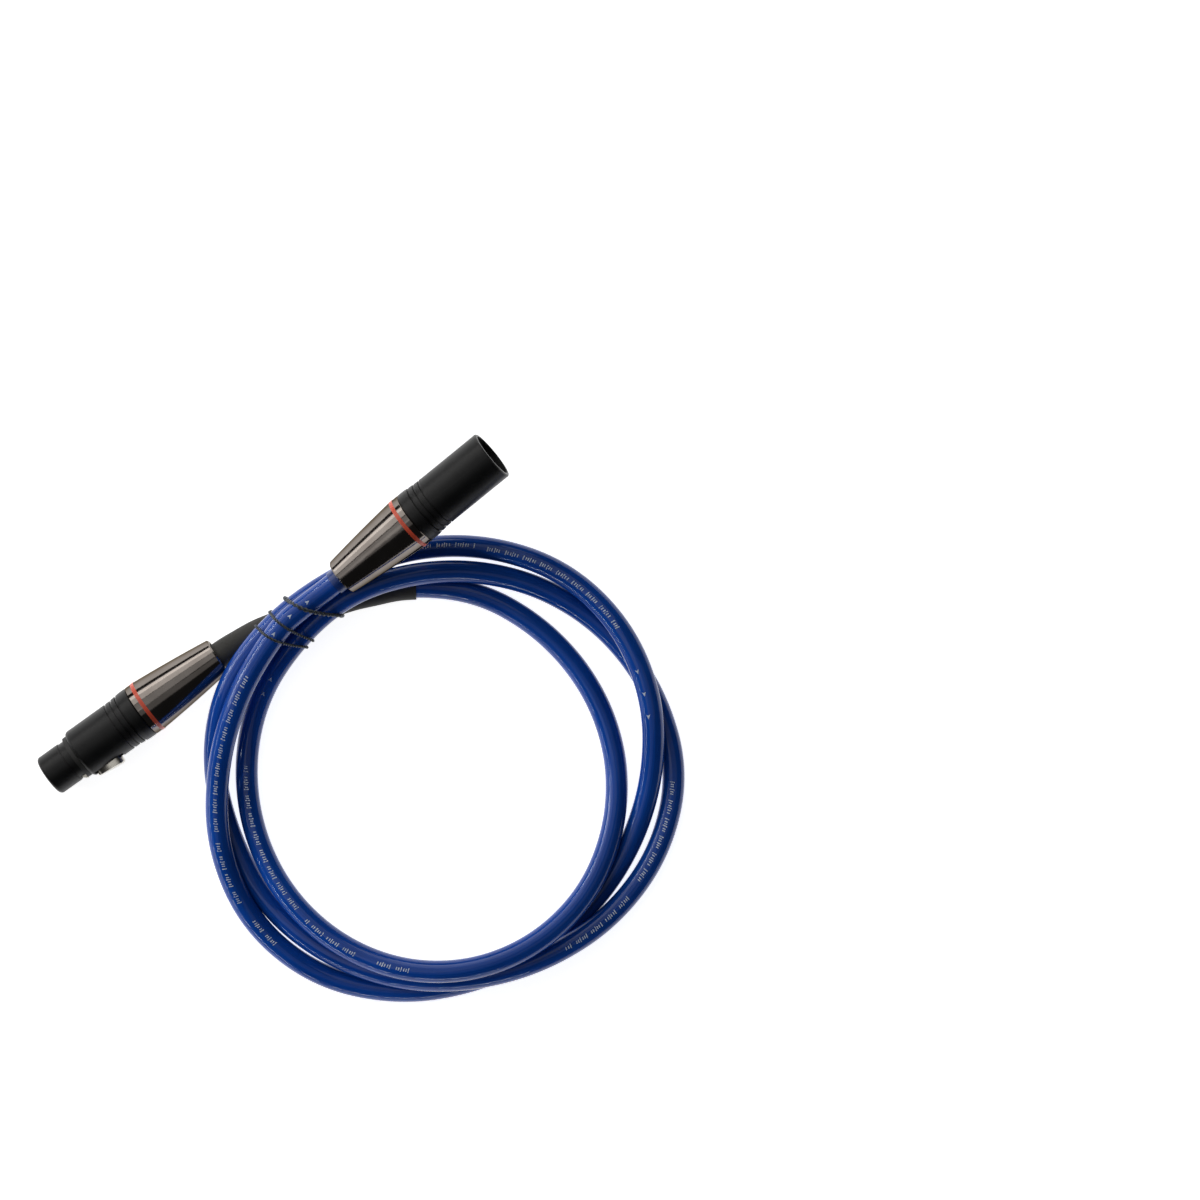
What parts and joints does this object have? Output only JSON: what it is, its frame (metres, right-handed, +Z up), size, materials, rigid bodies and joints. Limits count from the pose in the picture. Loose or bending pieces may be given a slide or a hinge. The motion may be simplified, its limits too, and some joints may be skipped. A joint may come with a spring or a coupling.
{
  "type": "xlr cable coil",
  "caption": "Balanced audio cable coiled in loose turns and tied, with a latching female three-pole connector at one end and a male one at the other.",
  "frame": {"origin": "the middle of the object's footprint, on the table it lies on", "axes": "+X from the female connector's mating face towards the male connector's, +Y from the coil's middle towards the connectors, +Z up from the table"},
  "size_m": [0.208, 0.1868, 0.0438],
  "materials": {
    "satin_black_shell": "satin black plated zinc with a fine grain",
    "black_chrome": "dark polished plating with brown-grey reflections",
    "red_ring": "smooth orange-red plastic",
    "latch_silver": "satin silver with a warm tint",
    "blue_jacket": "glossy dark blue jacket with faint length-wise marks",
    "blue_collar": "smooth blue plastic",
    "sleeve_grey": "matte dark grey shrink tubing",
    "tie_cord": "dull grey-black twisted tie",
    "insert_black": "moulded black plastic",
    "contact_silver": "silver plated contact",
    "rubber_black": "matte black rubber",
    "pale_plastic": "pale moulded plastic",
    "spring_steel": "bright spring steel",
    "core_white": "white insulated core",
    "core_blue": "blue insulated core",
    "core_copper": "twisted bare copper"
  },
  "bodies": {
    "cable_set": {"cable_coil": "blue_jacket", "cable_female_lead": "blue_jacket", "cable_male_lead": "blue_jacket", "female_boot": "black_chrome", "female_cable_end": "blue_jacket", "female_chuck": "pale_plastic", "female_colour_ring": "red_ring", "female_gland": "rubber_black", "female_heat_shrink_sleeve": "sleeve_grey", "female_housing": "satin_black_shell", "female_insert": "insert_black", "female_nose_gasket": "rubber_black", "female_socket_1": "contact_silver", "female_socket_2": "contact_silver", "female_socket_3": "contact_silver", "female_wire_cold": "core_blue", "female_wire_hot": "core_white", "female_wire_shield": "core_copper", "latch_pin": "spring_steel", "latch_spring": "spring_steel", "male_boot": "black_chrome", "male_cable_collar": "blue_collar", "male_cable_end": "blue_jacket", "male_chuck": "pale_plastic", "male_colour_ring": "red_ring", "male_gland": "rubber_black", "male_insert": "insert_black", "male_pin_1": "contact_silver", "male_pin_2": "contact_silver", "male_pin_3": "contact_silver", "male_shell": "satin_black_shell", "male_wire_cold": "core_blue", "male_wire_hot": "core_white", "male_wire_shield": "core_copper", "tie_wrap_1": "tie_cord", "tie_wrap_2": "tie_cord", "tie_wrap_3": "tie_cord"},
    "latch": {"latch_lever": "latch_silver"}
  },
  "joints": [
    {"name": "latch_press", "type": "hinge", "parent": "cable_set", "child": "latch", "pos_m": [-0.07309, 0.07605, 0.01106], "axis": [-0.0038, -0.0697, -0.9976], "range_deg": [0, 3.8], "stiffness_Nm_per_rad": 0.1, "springref_deg": -2.86, "deforming": ["latch_spring"]}
  ]
}
